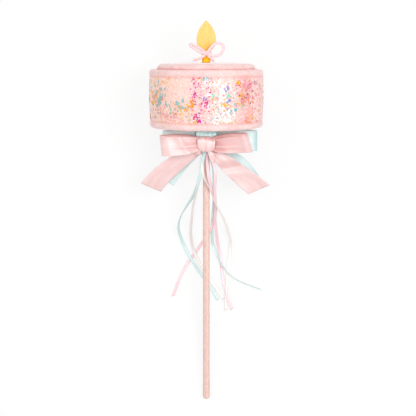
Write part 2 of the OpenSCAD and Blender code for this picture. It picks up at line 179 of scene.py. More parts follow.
def lattice(grid, uv, wrap=False, flip=False, first=0):
    """Quads of a grid of points, with their texture places; a wrapped grid has one more column of those."""
    rows, cols = grid.shape[:2]
    faces, places = [], []
    for i in range(rows - 1):
        for j in range(cols if wrap else cols - 1):
            quad = [(i, j), (i, j + 1), (i + 1, j + 1), (i + 1, j)]
            if flip:
                quad.reverse()
            faces.append([first + r * cols + c % cols for r, c in quad])
            places.extend(uv[r, c] for r, c in quad)
    return faces, places


def shell(grid, uv, thickness, wrap=False):
    """Points, faces and texture places of a sheet with a thickness in millimetres, closed all round."""
    over = np.roll(grid, -1, axis=1) - np.roll(grid, 1, axis=1) if wrap else np.gradient(grid, axis=1)
    offset = unit(np.cross(over, np.gradient(grid, axis=0))) * thickness * MM / 2
    rows, cols = grid.shape[:2]
    count = rows * cols
    points = np.vstack([(grid + offset).reshape(-1, 3), (grid - offset).reshape(-1, 3)])
    faces, places = lattice(grid, uv, wrap, flip=True)
    back = lattice(grid, uv, wrap, first=count)
    faces, places = faces + back[0], places + back[1]
    number, flat = np.arange(count).reshape(rows, cols), uv[:, :cols].reshape(count, 2)
    if wrap:
        rims = [np.append(row, row[0]) for row in (number[0], number[-1, ::-1])]
    else:
        rims = [np.r_[number[0], number[1:, -1], number[-1, -2::-1], number[-2::-1, 0]]]
    for rim in rims:
        for a, b in zip(rim.tolist(), rim[1:].tolist()):
            faces.append([a, b, b + count, a + count])
            places.extend(flat[[a, b, b, a]])
    return points, faces, places


def solid(grid, uv):
    """Points, faces and texture places of a wrapped grid with both ends closed."""
    rows, cols = grid.shape[:2]
    faces, places = lattice(grid, uv, wrap=True, flip=True)
    for row, order in ((0, range(cols)), (rows - 1, range(cols - 1, -1, -1))):
        faces.append([row * cols + c for c in order])
        places.extend(uv[row, c] for c in order)
    return grid.reshape(-1, 3), faces, places


def linked(name, data):
    """A new object of the scene."""
    made = bpy.data.objects.new(name, data)
    bpy.context.scene.collection.objects.link(made)
    return made


def piece(name, made, paint, body, node_name=None):
    """A mesh piece with the finish of its paint; it rides on a body when one is given."""
    points, faces, places = made
    slot, material = paint
    mesh = bpy.data.meshes.new(name)
    mesh.from_pydata(points.tolist(), [], faces)
    mesh.uv_layers.new(name="UVMap").data.foreach_set("uv", np.asarray(places, np.float32).ravel())
    mesh.polygons.foreach_set("use_smooth", np.ones(len(mesh.polygons), bool))
    mesh.materials.append(material)
    obj = linked(name, mesh)
    if body:
        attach(obj, body)
    if node_name:
        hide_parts(node_name)
    return obj


def plain_uv(u, v):
    """Texture places from two rows of numbers, in millimetres."""
    return np.stack(np.meshgrid(v, u, indexing="ij")[::-1], -1)


# Finishes


def rgb(red, green, blue, alpha=1):
    """A colour written as it is seen, from 0 to 255."""
    seen = np.array([red, green, blue]) / 255
    linear = np.where(seen <= 0.04045, seen / 12.92, ((seen + 0.055) / 1.055) ** 2.4)
    return (*linear, alpha)


class Nodes:
    """The nodes of a material or world, with short ways to add to them."""

    def __init__(self, owner):
        owner.use_nodes = True
        self.tree = owner.node_tree

    def node(self, kind, inputs=None, **settings):
        """A new node; an input is a plain value or another node's socket."""
        made = self.tree.nodes.new("ShaderNode" + kind)
        for name, value in settings.items():
            setattr(made, name, value)
        for name, value in (inputs or {}).items():
            if isinstance(value, bpy.types.NodeSocket):
                self.tree.links.new(value, made.inputs[name])
            else:
                made.inputs[name].default_value = value
        return made

    def calc(self, operation, a, b=0):
        return self.node("Math", {0: a, 1: b}, operation=operation).outputs[0]

    plus = partialmethod(calc, "ADD")
    minus = partialmethod(calc, "SUBTRACT")
    times = partialmethod(calc, "MULTIPLY")
    larger = partialmethod(calc, "MAXIMUM")
    size = partialmethod(calc, "ABSOLUTE")


class Finish(Nodes):
    """A material of one shader with constant values, and the nodes that feed it."""

    def __init__(self, name, **constants):
        self.material = bpy.data.materials.new(name)
        super().__init__(self.material)
        self.shader = self.tree.nodes["Principled BSDF"]
        for socket, value in constants.items():
            self.shader.inputs[socket.replace("_", " ")].default_value = value

    def feed(self, socket, value):
        self.tree.links.new(value, self.shader.inputs[socket])

    def mix(self, share, a, b):
        return self.node("Mix", {0: share, 6: a, 7: b}, data_type="RGBA").outputs[2]

    def paint(self, share, a, b):
        self.feed("Base Color", self.mix(share, a, b))

    def between(self, value, low, high, to_low=0, to_high=1):
        """value from low to high, mapped softly to another span."""
        inputs = {"Value": value, "From Min": low, "From Max": high, "To Min": to_low, "To Max": to_high}
        return self.node("MapRange", inputs, interpolation_type="SMOOTHSTEP").outputs[0]

    def vector(self, operation, a, b=(0, 0, 0)):
        return self.node("VectorMath", {0: a, 1: b}, operation=operation).outputs[0]

    def noise(self, place, scale, detail=2):
        """Noise at one scale, or at three that differ by direction."""
        if isinstance(scale, tuple):
            place, scale = self.vector("MULTIPLY", place, scale), 1
        return self.node("TexNoise", {"Vector": place, "Scale": scale, "Detail": detail}).outputs["Fac"]

    def wave(self, place, scale, distortion, direction):
        inputs = {"Vector": place, "Scale": scale, "Distortion": distortion}
        return self.node("TexWave", inputs, bands_direction=direction).outputs["Fac"]

    def ramp(self, value, stops, interpolation="LINEAR"):
        made = self.node("ValToRGB", {"Fac": value})
        band = made.color_ramp
        band.interpolation = interpolation
        while len(band.elements) < len(stops):
            band.elements.new(1)
        for element, (place, colour) in zip(band.elements, stops):
            element.position, element.color = place, colour
        return made.outputs

    def bump(self, height, strength, distance):
        inputs = {"Height": height, "Strength": strength, "Distance": distance * MM}
        self.feed("Normal", self.node("Bump", inputs).outputs["Normal"])

    def flat_place(self):
        """Place on the flat cloth, in millimetres: across, then along."""
        return self.node("UVMap", uv_map="UVMap").outputs["UV"]

    def object_place(self):
        return self.node("TexCoord").outputs["Object"]

    def axis(self, place, name):
        return self.node("SeparateXYZ", {0: place}).outputs[name]

    def mark(self, name, output="Fac"):
        """A value that the mesh carries at each point."""
        return self.node("Attribute", attribute_name=name).outputs[output]

    def cells(self, place, scale):
        """Small cells, each with its own random colour."""
        return self.node("TexVoronoi", {"Vector": place, "Scale": scale}, feature="F1").outputs["Color"]

    def tip_cells(self, cells, amount):
        """Tips the surface of each cell its own way."""
        lean = self.vector("MULTIPLY", self.vector("SUBTRACT", cells, (0.5, 0.5, 0.5)), (amount, amount, amount))
        tipped = self.vector("ADD", lean, self.node("NewGeometry").outputs["Normal"])
        self.feed("Normal", self.vector("NORMALIZE", tipped))


def satin(name, light, deep, width, rough=0.42):
    """Satin ribbon: fine warp lines, soft changes of tone, a sheen across it, a firm edge and painted shade in the
    folds.
    """
    f = Finish(name, IOR=1.8, Specular_IOR_Level=1, Anisotropic=0.8, Sheen_Weight=0.08, Sheen_Roughness=0.4)
    place = f.flat_place()
    f.feed("Tangent", f.node("Tangent", direction_type="UV_MAP", uv_map="UVMap").outputs[0])
    threads = f.noise(place, (6.5, 0.1, 0))
    tone = f.noise(place, (0.16, 0.05, 0), 3)
    edge = f.between(f.size(f.axis(place, "X")), width / 2 - 0.7, width / 2 - 0.35)
    shade = f.plus(f.times(tone, 0.7), f.times(threads, 0.3))
    colour = f.mix(f.between(shade, 0.32, 0.68), deep, light)
    colour = f.mix(f.times(edge, 0.5), colour, deep)
    # painted shade: the seam marks deepen the pink in folds and on faces turned from the light
    fold_shade_colour = (*(part**1.9 for part in deep[:3]), 1)
    f.paint(f.mark("seam"), colour, fold_shade_colour)
    f.feed("Roughness", f.between(threads, 0.3, 0.7, rough - 0.07, rough + 0.07))
    ribs = f.noise(place, (0.5, 3.2, 0), 1)
    f.bump(f.plus(threads, f.times(edge, ribs)), 0.25, 0.12)
    return f.material


def velvet(name, light, deep, shadow):
    """Short plush: nap that lies in patches, fine pile, and painted shade down in the seams."""
    f = Finish(name, Roughness=0.92, Specular_IOR_Level=0.15, Sheen_Weight=0.55, Sheen_Roughness=0.35)
    place = f.object_place()
    nap, pile, tuft = f.noise(place, 95, 3), f.noise(place, 1500, 3), f.noise(place, 420)
    shade = f.plus(f.times(nap, 0.55), f.times(tuft, 0.45))
    colour = f.mix(f.between(shade, 0.36, 0.64), deep, light)
    colour = f.mix(f.between(pile, 0.25, 0.75, 0.16, 0), colour, deep)
    # painted shade in the seams, from the mesh's seam marks
    f.paint(f.mark("seam"), colour, shadow)
    f.bump(f.plus(pile, f.times(tuft, 1.5)), 0.5, 0.35)
    return f.material


# Tones of the glitter cloth from the left edge of the cake to the right, with a painted highlight as the paler band
# right of the middle, and its specks by chance
CLOTH_TONES_AND_HIGHLIGHT = [
    (0, rgb(255, 230, 216)), (0.06, rgb(252, 218, 204)), (0.14, rgb(250, 212, 198)), (0.32, rgb(252, 214, 202)),
    (0.42, rgb(249, 202, 200)), (0.54, rgb(250, 208, 202)), (0.6, rgb(251, 219, 212)), (0.72, rgb(251, 219, 212)),
    (0.78, rgb(250, 200, 196)), (0.85, rgb(248, 180, 174)), (0.9, rgb(251, 214, 210)),
]
CLOTH_SPECKS = [
    (0, rgb(246, 190, 130, 0.5)), (0.05, rgb(243, 150, 150, 0.45)), (0.14, (1, 1, 1, 0)),
    (0.84, rgb(255, 240, 234, 0.6)), (0.95, rgb(255, 250, 246, 0.9)),
]


def glitter_cloth(name):
    """Pink net over fine glitter: peach, a pale painted highlight, then coral from side to side, and painted shade at
    the seams.
    """
    f = Finish(name, Specular_IOR_Level=0.5, Coat_Weight=0.15, Coat_Roughness=0.35)
    place, flat = f.object_place(), f.flat_place()
    drift = f.times(f.minus(f.noise(place, 75, 3), 0.5), 0.014)
    across = f.plus(f.axis(place, "X"), drift)
    share = f.node("MapRange", {"Value": across, "From Min": -0.055, "From Max": 0.055}).outputs[0]
    cells = f.cells(place, 1500)
    chance = f.node("SeparateColor", {0: cells}).outputs["Red"]
    speck = f.ramp(chance, CLOTH_SPECKS, "CONSTANT")
    colour = f.mix(speck["Alpha"], f.ramp(share, CLOTH_TONES_AND_HIGHLIGHT)["Color"], speck["Color"])
    ways = [f.wave(way, 0.2, 0.5, "DIAGONAL") for way in (flat, f.vector("MULTIPLY", flat, (-1, 1, 1)))]
    colour = f.mix(f.between(f.larger(*ways), 0.8, 1, 0, 0.35), colour, rgb(245, 186, 178))
    # painted shade: a darker line at the seams under the rolls
    f.paint(f.mark("seam"), colour, rgb(232, 150, 146))
    f.feed("Roughness", f.between(chance, 0, 1, 0.55, 0.3))
    f.tip_cells(cells, 0.4)
    return f.material


def flake_film(name):
    """Glitter film: each flake has its own colour, with a little painted sheen of white across it."""
    f = Finish(name, Roughness=0.36, Specular_IOR_Level=0.25)
    # painted sheen: a little white mixed in by noise
    sheen = f.between(f.noise(f.object_place(), 700, 1), 0.3, 0.7, 0, 0.06)
    f.paint(sheen, f.mark("flake", "Color"), (1, 1, 1, 1))
    return f.material


def leatherette(name):
    """Soft gold leatherette: fine grain, warmer low on the flame and along its crease, with painted shade in the crease
    line.
    """
    f = Finish(name, Specular_IOR_Level=0.4, Sheen_Weight=0.1)
    place = f.flat_place()
    grain = f.node("TexVoronoi", {"Vector": place, "Scale": 2.6}, feature="SMOOTH_F1").outputs["Distance"]
    blotch = f.between(f.noise(place, 0.35, 3), 0.35, 0.65)
    low = f.between(f.axis(place, "Y"), 16, 0)
    off_crease = f.size(f.minus(f.axis(place, "X"), FLAME_CREASE))
    warm = f.times(f.times(low, f.between(off_crease, 5, 0.5)), 0.85)
    # painted shade: a darker line along the pressed crease
    crease = f.times(f.between(off_crease, 0.55, 0.15), 0.2)
    colour = f.mix(blotch, rgb(245, 200, 102), rgb(248, 209, 120))
    colour = f.mix(warm, colour, rgb(246, 186, 62))
    f.paint(crease, colour, rgb(236, 178, 70))
    f.feed("Roughness", f.between(grain, 0.1, 0.6, 0.5, 0.36))
    f.bump(grain, 0.3, 0.15)
    return f.material


def gold_glitter(name):
    """Glitter vinyl: packed gold flakes, each at its own angle."""
    f = Finish(name, Metallic=0.1, Specular_IOR_Level=0.3)
    cells = f.cells(f.object_place(), 1300)
    chance = f.node("SeparateColor", {0: cells}).outputs["Green"]
    tones = [(0, rgb(240, 158, 0)), (0.4, rgb(250, 192, 0)), (0.8, rgb(254, 208, 6)), (1, rgb(255, 228, 90))]
    f.feed("Base Color", f.ramp(chance, tones)["Color"])
    f.feed("Roughness", f.between(chance, 0, 1, 0.45, 0.25))
    f.tip_cells(cells, 0.5)
    return f.material


def yarn(name, light, deep):
    """Twisted soft cord: fibres along the strands and painted shade in the grooves between them."""
    f = Finish(name, Roughness=0.75, Specular_IOR_Level=0.25, Sheen_Weight=0.4, Sheen_Roughness=0.4)
    fibre = f.noise(f.flat_place(), (3, 0.9, 0), 3)
    colour = f.mix(f.between(fibre, 0.3, 0.7), deep, light)
    # painted shade in the grooves between the strands, from the mesh's seam marks
    f.paint(f.times(f.mark("seam"), 0.55), colour, deep)
    f.bump(fibre, 0.4, 0.2)
    return f.material


def woven(name, light, deep, seam_tone):
    """Plain woven sleeve: threads both ways, slubs and a speckled seam along the front."""
    f = Finish(name, Roughness=0.85, Specular_IOR_Level=0.2, Sheen_Weight=0.25, Sheen_Roughness=0.4)
    place = f.flat_place()
    weave = f.larger(f.wave(place, 1.1, 0.6, "X"), f.wave(place, 0.9, 0.6, "Y"))
    slub = f.between(f.noise(place, (0.9, 0.16, 0), 3), 0.35, 0.65)
    on_seam = f.between(f.size(f.minus(f.axis(place, "X"), 0.9)), 0.9, 0.25)
    speckle = f.between(f.noise(place, (1.6, 0.7, 0)), 0.42, 0.6)
    colour = f.mix(f.between(weave, 0.2, 0.9, 0.22, 0), f.mix(slub, deep, light), deep)
    f.paint(f.times(f.times(on_seam, speckle), 0.75), colour, seam_tone)
    f.bump(weave, 0.35, 0.15)
    return f.material


def pine(name):
    f = Finish(name, Roughness=0.6)
    grain = f.noise(f.object_place(), (900, 30, 900), 3)
    f.paint(grain, rgb(196, 158, 108), rgb(228, 200, 158))
    return f.material


def fleece(name, light, deep):
    """Loose fibre or thread."""
    f = Finish(name, Roughness=0.95, Sheen_Weight=0.3)
    fibre = f.noise(f.object_place(), 500, 4)
    f.paint(fibre, deep, light)
    f.bump(fibre, 0.6, 0.6)
    return f.material


def narrow_satin(colour, light, deep):
    """Slot and satin of a streamer, duller than that of the bows."""
    return f"{colour}_satin", satin(f"{colour}_narrow_satin", light, deep, STREAMER_W, rough=0.46)


# Finishes of the pieces, as slot and material
PINK_SATIN = "pink_satin", satin("pink_satin", rgb(245, 213, 211), rgb(237, 192, 189), RIBBON_W)
MINT_SATIN = "mint_satin", satin("mint_satin", rgb(223, 243, 243), rgb(204, 231, 230), RIBBON_W)
PINK_NARROW = narrow_satin("pink", rgb(250, 213, 219), rgb(244, 197, 205))
# A brighter copy of the mint satin, painted lighter for the gather that sits in shade
MINT_PAINTED_BRIGHTER = "mint_satin", satin("mint_satin_painted_brighter", rgb(220, 255, 253), rgb(192, 250, 247), RIBBON_W)
MINT_NARROW = narrow_satin("mint", rgb(204, 231, 231), rgb(184, 217, 216))
IVORY_NARROW = narrow_satin("ivory", rgb(244, 238, 234), rgb(234, 225, 220))
PLUSH = "velvet", velvet("pink_plush", rgb(249, 221, 219), rgb(242, 203, 200), rgb(224, 128, 122))
GLITTER_CLOTH = "glitter_fabric", glitter_cloth("glitter_cloth")
FLAKE_FILM = "glitter_fabric", flake_film("glitter_flakes")
FLAME_GOLD = "gold_leatherette", leatherette("gold_leatherette")
STUB_GOLD = "gold_glitter", gold_glitter("gold_glitter")
CANDLE_CORD = "cord", yarn("pink_cord", rgb(254, 234, 235), rgb(248, 212, 216))
SLEEVE = "sleeve_fabric", woven("peach_sleeve", rgb(241, 210, 200), rgb(233, 190, 179), rgb(252, 236, 230))
FILLING = "filling", fleece("white_filling", rgb(250, 249, 247), rgb(228, 226, 222))

# Finishes of the nodes that stay as they are
WOOD = pine("dowel_wood")
THREAD = fleece("pink_thread", rgb(246, 214, 210), rgb(230, 180, 176))

# Camera, straight above as in the photograph
FOCAL_PX = 850
IMAGE_PX = 416
camera = linked("camera", bpy.data.cameras.new("camera"))
camera.data.sensor_width = 36
camera.data.lens = camera.data.sensor_width * FOCAL_PX / IMAGE_PX
camera.location = (0.0017, 0.00925, 0.882)
bpy.context.scene.camera = camera

# Streamers: distance from the stitch, share of its height left there, and bearing right of straight down, in degrees
STREAMER_STEPS = [1.2, 10, 20, 30, 40, 50, 60, 72, 84, 96, 108, 120, 136, 154, 165.5]
STREAMER_FALL = [1] * 4 + [0.93, 0.79, 0.6, 0.37, 0.17, 0.05] + [0] * 5
STREAMER_ROUTES = {
    "mint_right": [20, 20, 17, 13, 11, 9, 7, 5, 4, 4, 6, 8, 13, 21.5],
    "pink_left": [4, 4, 4, 5, 7.5, 9, 8.3, 6, 2, -3, -7, -10, -12, -13],
    "pink_right": [32, 28, 23, 17, 12, 10, 9, 7, 7, 7, 7.5, 7.5, 7.5, 8.3, 9.2],
    "ivory_left": [-24, -22, -18, -14, -13, -13, -13, -12, -11, -9, -6, -2, 2.5, 6.6],
    "mint_left": [-16, -16, -14, -12, -14, -16, -19, -21, -20, -15, -10, -5, 0.5, 4.5],
    "ivory_right": [-15, -15, -11, -3, 5, 8.3, 11, 14, 15, 15, 13, 11, 9, 7.5, 7],
}
# How far each turns on edge at those places, in degrees, and how far it is lifted, in millimetres
STREAMER_TWISTS = {
    "mint_right": [70, 70, 66, 50, 20, 0, 0, 0, 0, 10, 40, 66, 76, 78],
    "pink_left": [0, 0, 0, 10, 20, 20, 10, 0, 0, 0, 0, 0, 10, 20],
    "pink_right": [0, 0, 0, 0, 0, 15, 25, 15, 0, 0, 0, 0, 0, 0, 0],
    "ivory_left": [0, 0, 0, 20, 45, 50, 45, 40, 30, 20, 10, 10, 0, 0],
    "mint_left": [0, 0, 0, 0, 10, 30, 60, 70, 40, 10, 0, 0, 0, 0],
    "ivory_right": [0, 0, 20, 55, 66, 66, 62, 50, 30, 20, 10, 0, 0, 0, 0],
}
STREAMER_LIFTS = {
    "mint_right": [0] * 9 + [0.5, 2.2, 3.6, 3.4, 0.4],
    "pink_right": [0] * 12 + [0.8, 2.4, 2.4],
    "ivory_right": [-0.9, -0.9, -0.5] + [0] * 12,
}
STREAMER_PAINTS = {"pink": PINK_NARROW, "mint": MINT_NARROW, "ivory": IVORY_NARROW}
NARROW_T = 0.22
LYING_FROM = 84
LYING_OVER = 24


def swing(made):
    """Bakes the placing of a ribbon into its mesh."""
    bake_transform(made)


def streamer(name, layer):
    """Narrow ribbon that falls from the stitch to the table; it turns on edge in places."""
    colour, side = name.split("_")
    bearings = np.radians(STREAMER_ROUTES[name])
    r = np.array(STREAMER_STEPS[: len(bearings)])
    lift = np.array(STREAMER_LIFTS.get(name, [0] * len(r)))
    fall = np.array(STREAMER_FALL[: len(r)])
    z = STREAMER_T + (STREAMER_Z - SLOPE * r - STREAMER_T) * fall + layer * STREAMER_PITCH + lift
    on_edge = np.array(STREAMER_TWISTS[name])
    lying = ease((r - LYING_FROM) / LYING_OVER)
    z = z + lying * np.maximum(0, np.sin(np.radians(on_edge)) * STREAMER_W / 2 - z + 0.3)
    route = np.c_[PIVOT[0] + r * np.sin(bearings), PIVOT[1] - r * np.cos(bearings), z, on_edge]
    path = spline(route, 1.3)
    middle, turn = path[:, :3] * MM, np.radians(path[:, 3])
    ahead = unit(np.gradient(middle, axis=0))
    level = unit(np.cross(ahead, [0, 0, 1]))
    across = level * np.cos(turn)[:, None] + np.cross(level, ahead) * np.sin(turn)[:, None]
    half = np.linspace(-1, 1, 5)
    grid = middle[:, None] + across[:, None] * half[None, :, None] * STREAMER_W / 2 * MM
    grid[-1] += ahead[-1] * half[:, None] * 0.6 * MM
    made = shell(grid, plain_uv(half * STREAMER_W / 2, lengths(path)), NARROW_T)
    made = piece(f"ribbon_{name}", made, STREAMER_PAINTS[colour], None, f"streamer_{name}")
    swing(made)


for layer, name in enumerate(STREAMER_ROUTES):
    streamer(name, layer)

# Cake
TABLE_GAP = 0.05


def revolved(profile, columns, shape, place=cake):
    """Grid of a profile of [radius, height] turned round the cake, with its texture places; shape adds to both."""
    profile = np.asarray(profile, float)
    turns = np.linspace(-math.pi, math.pi, columns, endpoint=False)
    r, turn, h = np.broadcast_arrays(profile[:, :1], turns, profile[:, 1:])

    def waves(length, seed):
        return ripple(place(r, turn, h), length, seed)

    dr, dh = shape(r, turn, h, waves)
    around = np.linspace(-math.pi, math.pi, columns + 1) * profile[:, 0].max()
    return place(r + dr, turn, h + dh), plain_uv(around, lengths(np.pad(profile, ((0, 0), (0, 1)))))


def above_table(points, gap=TABLE_GAP):
    """Lifts what would dip under the table; gap is in millimetres."""
    points[..., 2] = np.maximum(points[..., 2], gap * MM)


def set_painted_shade(obj, shares):
    """Marks how much painted shade each point takes, in seams, creases and folds; both faces of a sheet take the same
    marks.
    """
    shares = np.asarray(shares, np.float32).ravel()
    marks = obj.data.attributes.new("seam", "FLOAT", "POINT")
    marks.data.foreach_set("value", np.tile(shares, len(obj.data.vertices) // len(shares)))


def turned(name, node_name, paint, profile, shape, columns, thickness=0, place=cake, gap=None, seam=None, body="wand"):
    """A piece made by turning a profile: a sheet with a thickness, or else a solid; seam is painted shade that goes by
    rows.
    """
    grid, uv = revolved(profile, columns, shape, place)
    if gap is not None:
        above_table(grid, gap)
    made = shell(grid, uv, thickness, wrap=True) if thickness else solid(grid, uv)
    made = piece(name, made, paint, body, node_name)
    if seam is not None:
        set_painted_shade(made, np.repeat(seam, columns))
    return made


def panel_radius(height):
    """Side of the cake: full at mid height, drawn in at the rolls."""
    return PANEL_R - 0.15 + 0.75 * np.sin(math.pi * np.clip((height - ROLL_R) / (CAKE_H - 2 * ROLL_R), 0, 1))


def panel_shape(r, turn, h, waves):
    near = np.minimum(h - 2 * ROLL_R, CAKE_H - 2 * ROLL_R - h)
    pucker = np.exp(-np.maximum(near, 0) / 4) * np.sin(turn * 61 + 2.5 * np.sin(turn * 7)) * 0.22
    return pucker + 0.28 * waves(26, 3), 0


panel_h = np.linspace(2.6, CAKE_H - 2.6, 40)
panel = np.c_[panel_radius(panel_h), panel_h]
# painted shade: a darker band where the panel meets each roll
panel_painted_shade = bell((np.minimum(panel_h, CAKE_H - panel_h) - 2 * ROLL_R - 0.4) / 0.7) * 0.75
side_panel = turned("side_panel_cloth", "side_panel", GLITTER_CLOTH, panel, panel_shape, columns=240, thickness=1,
                    gap=0.6, seam=panel_painted_shade)


def roll_shape(r, turn, h, waves):
    return 0.13 * waves(14, 5) + 0.05 * waves(3.2, 6), 0.1 * waves(16, 7)


def plush_roll(name, height, node_name):
    """Plush roll round an edge of the cake, a ring with no ends."""
    columns = 300
    angles = np.linspace(0, TURN, 37)
    profile = np.c_[ROLL_C + ROLL_R * np.cos(angles), height + ROLL_R * np.sin(angles)]
    grid, uv = revolved(profile, columns, roll_shape)
    grid[-1] = grid[0]
    above_table(grid)
    points = grid[:-1].reshape(-1, 3)
    faces, places = lattice(grid, uv, wrap=True, flip=True)
    faces = [[v % len(points) for v in face] for face in faces]
    made = piece(name, (points, faces, places), PLUSH, "wand", node_name)
    # painted shade on the inner side of the roll, where it meets the panel
    inner_shade = ease(np.cos(angles[:-1] - math.pi) * 1.4 - 0.2)
    set_painted_shade(made, np.repeat(inner_shade * 0.6, columns))


plush_roll("lower_roll", ROLL_R, "lower_trim")
plush_roll("upper_roll", CAKE_H - ROLL_R, "upper_trim")


def tier_shape(r, turn, h, waves):
    pucker = bell((r - TIER_R) / 3) * np.sin(turn * 44 + 1.7 * np.sin(turn * 5)) * 0.2
    return pucker + 0.12 * waves(18, 9), 0.25 * waves(30, 10) * ease((r - 6) / 12)


# Padded top: foot under the upper roll, rounded edge, crown, and the place where the candle is sewn in
TIER_FLAT_R = TIER_R - TIER_EDGE
edge_angles = np.radians(np.linspace(-8, 84, 11))
crown_r = np.linspace(TIER_FLAT_R, 4.2, 22)
tier = np.vstack(
    [
        [[TIER_R - 3, 51.6], [TIER_R + 1.9, 52.4], [TIER_R + 2, 53.2], [TIER_R + 1.2, 54.2], [TIER_R + 0.3, 54.9]],
        TIER_EDGE * np.c_[np.cos(edge_angles), np.sin(edge_angles)] + [TIER_FLAT_R, TIER_TOP - TIER_EDGE],
        np.c_[crown_r, TIER_TOP + TIER_CROWN * (1 - (crown_r / TIER_FLAT_R) ** 2)],
        [[4.1, 60.4], [3.2, 59.6]],
    ]
)
# painted shade on the foot of the top, under the upper roll
tier_painted_shade = ease((57.1 - tier[:, 1]) / 2.2) * (tier[:, 0] > 20)
turned("padded_top", "icing_top", PLUSH, tier, tier_shape, columns=240, seam=tier_painted_shade)


def base_shape(r, turn, h, waves):
    gather = np.exp(-(r - 4) / 9) * np.sin(turn * 18 + np.sin(turn * 3)) * 0.55
    return 0, gather - 0.25 * waves(24, 12)


base_r = np.linspace(4.4, 50.5, 28)
base = np.c_[base_r, BASE_EDGE + 0.6 - BASE_SWELL * (1 - (base_r / ROLL_C) ** 2)]
# painted shade near the edge of the base, under the lower roll
base_painted_shade = ease((base_r - 44) / 6) * 0.7
base_panel = turned("base_cloth", "base_panel", PLUSH, base, base_shape, columns=200, thickness=0.9, seam=base_painted_shade)


def fill_shape(r, turn, h, waves):
    return 0.5 * waves(9, 14) - 0.5, 0


FILL_R = [3.4, 20, 40, 47.5, 48.2, 52, 52.2, 52, 48.2, 30, 3.4]
FILL_H = [3, 3.2, 4, 4.6, 8, 10, 28, 45, 47.5, 48.6, 48.8]
fill = spline(np.c_[FILL_R, FILL_H, np.zeros(len(FILL_R))], 3)[:, :2]
turned("filling", "head_stuffing", FILLING, fill, fill_shape, columns=90)

# Glitter flakes on the side panel, in drifts: colour, size, count, middle across and in height, spread of both
TEAL = rgb(142, 194, 194)
MINTY = rgb(150, 222, 200)
LILAC = rgb(168, 150, 198)
GOLD = rgb(250, 186, 10)
AMBER = rgb(247, 152, 20)
MAGENTA = rgb(216, 34, 150)
CORAL = rgb(244, 144, 140)
ROSE = rgb(246, 164, 178)
WHITE = rgb(255, 252, 250)
OPAL = rgb(226, 240, 238)
BLUSH = rgb(253, 224, 216)
INK = rgb(66, 80, 122)
# The white and opal drifts right of the middle lie in the cloth's painted highlight; they are partly white flakes and
# partly painted glints.
FLAKE_DRIFTS = [
    (TEAL, 0.9, 6, -51, 37, 1, 3), (TEAL, 1.05, 7, -45, 38, 2, 4), (TEAL, 1.05, 9, -40, 33, 3, 3.5),
    (TEAL, 1.05, 10, -42, 25, 3, 3.5), (TEAL, 1.05, 5, -44, 19, 2, 2.5), (TEAL, 0.9, 9, -32, 22, 4.5, 3),
    (TEAL, 1.05, 11, -23, 23, 3.5, 4), (TEAL, 0.9, 5, -17, 13, 2, 2), (GOLD, 0.9, 44, -47, 32, 4, 8),
    (AMBER, 0.8, 14, -44, 27, 4, 7), (GOLD, 0.8, 10, -42, 43, 6, 2.5), (AMBER, 1.1, 5, -13, 28, 0.9, 1.5),
    (AMBER, 1.1, 5, -13, 22, 0.9, 1.2), (GOLD, 0.9, 18, -17, 17, 3.5, 5), (AMBER, 0.8, 6, -13, 15, 1.5, 3),
    (GOLD, 0.9, 6, -11, 8.5, 2, 1), (GOLD, 0.7, 20, -32, 16, 8, 5), (ROSE, 0.9, 44, -38, 13, 9, 4),
    (ROSE, 0.8, 24, -44, 30, 5, 9), (MAGENTA, 0.8, 16, -11.5, 43, 1.4, 3.5), (MAGENTA, 0.8, 10, -7, 42, 1.2, 4),
    (MAGENTA, 0.8, 14, -10.5, 33, 1.5, 3), (MAGENTA, 0.9, 12, 2.5, 40, 1.4, 4.5), (MAGENTA, 1, 16, 0.5, 24, 2.2, 4),
    (MAGENTA, 1.1, 16, -7.4, 12, 2, 2.2), (MAGENTA, 0.7, 5, -2, 9, 3, 1.5), (ROSE, 0.9, 40, -6, 28, 5, 11),
    (LILAC, 1, 5, -2, 31, 1.5, 1.5), (INK, 0.8, 6, -7, 22, 2, 9), (WHITE, 1.1, 14, -1, 44, 3.5, 2.5),
    (WHITE, 1.2, 28, 14, 40, 5, 4.5), (WHITE, 1.2, 20, 13, 27, 5, 4), (WHITE, 1.3, 60, 17, 13, 7.5, 3.5),
    (OPAL, 1.1, 30, 14, 28, 6, 9), (ROSE, 0.8, 26, 15, 30, 7, 11), (LILAC, 1.3, 7, 18.5, 38, 1.7, 1.2),
    (MINTY, 1.2, 5, 6, 32, 1, 1.3), (MINTY, 1.1, 5, 20, 33, 1, 1.5), (LILAC, 1.2, 5, 19, 28, 1, 2),
    (TEAL, 1.05, 8, 24, 19, 3, 3), (TEAL, 0.9, 8, 8, 14, 5, 3), (LILAC, 1, 8, 17, 14, 6, 2),
    (MINTY, 1.1, 5, 15, 11.5, 1.5, 1.2), (GOLD, 0.9, 14, 18, 23, 4, 3), (AMBER, 0.8, 10, 5, 39, 2, 5),
    (GOLD, 0.9, 6, -6, 47, 3, 0.8), (TEAL, 0.9, 5, -2, 47, 2, 0.7), (CORAL, 0.7, 40, 9, 20, 6, 6),
    (GOLD, 0.9, 9, 20, 8.4, 5, 0.8), (ROSE, 1, 56, 36, 40, 4, 5), (CORAL, 1, 54, 37, 26, 4, 6),
    (CORAL, 1, 36, 38, 14, 3.5, 4), (AMBER, 1, 14, 38, 22, 3, 5), (GOLD, 1.1, 7, 29, 44, 1.2, 1.5),
    (GOLD, 1.1, 9, 32, 31, 1.3, 3.5), (INK, 0.9, 9, 36, 18, 2, 4), (INK, 0.8, 7, 36, 30, 6, 12),
    (WHITE, 0.9, 12, 36, 20, 2.2, 3.5), (GOLD, 1, 26, 37, 18, 4, 6), (MAGENTA, 0.8, 12, 30, 19, 3, 8),
    (MAGENTA, 0.8, 6, 36, 44, 3, 2), (TEAL, 0.9, 9, 37, 19, 4, 4), (GOLD, 0.7, 12, 49, 22, 2, 8),
    (ROSE, 0.8, 40, 49, 30, 2.5, 11),
]
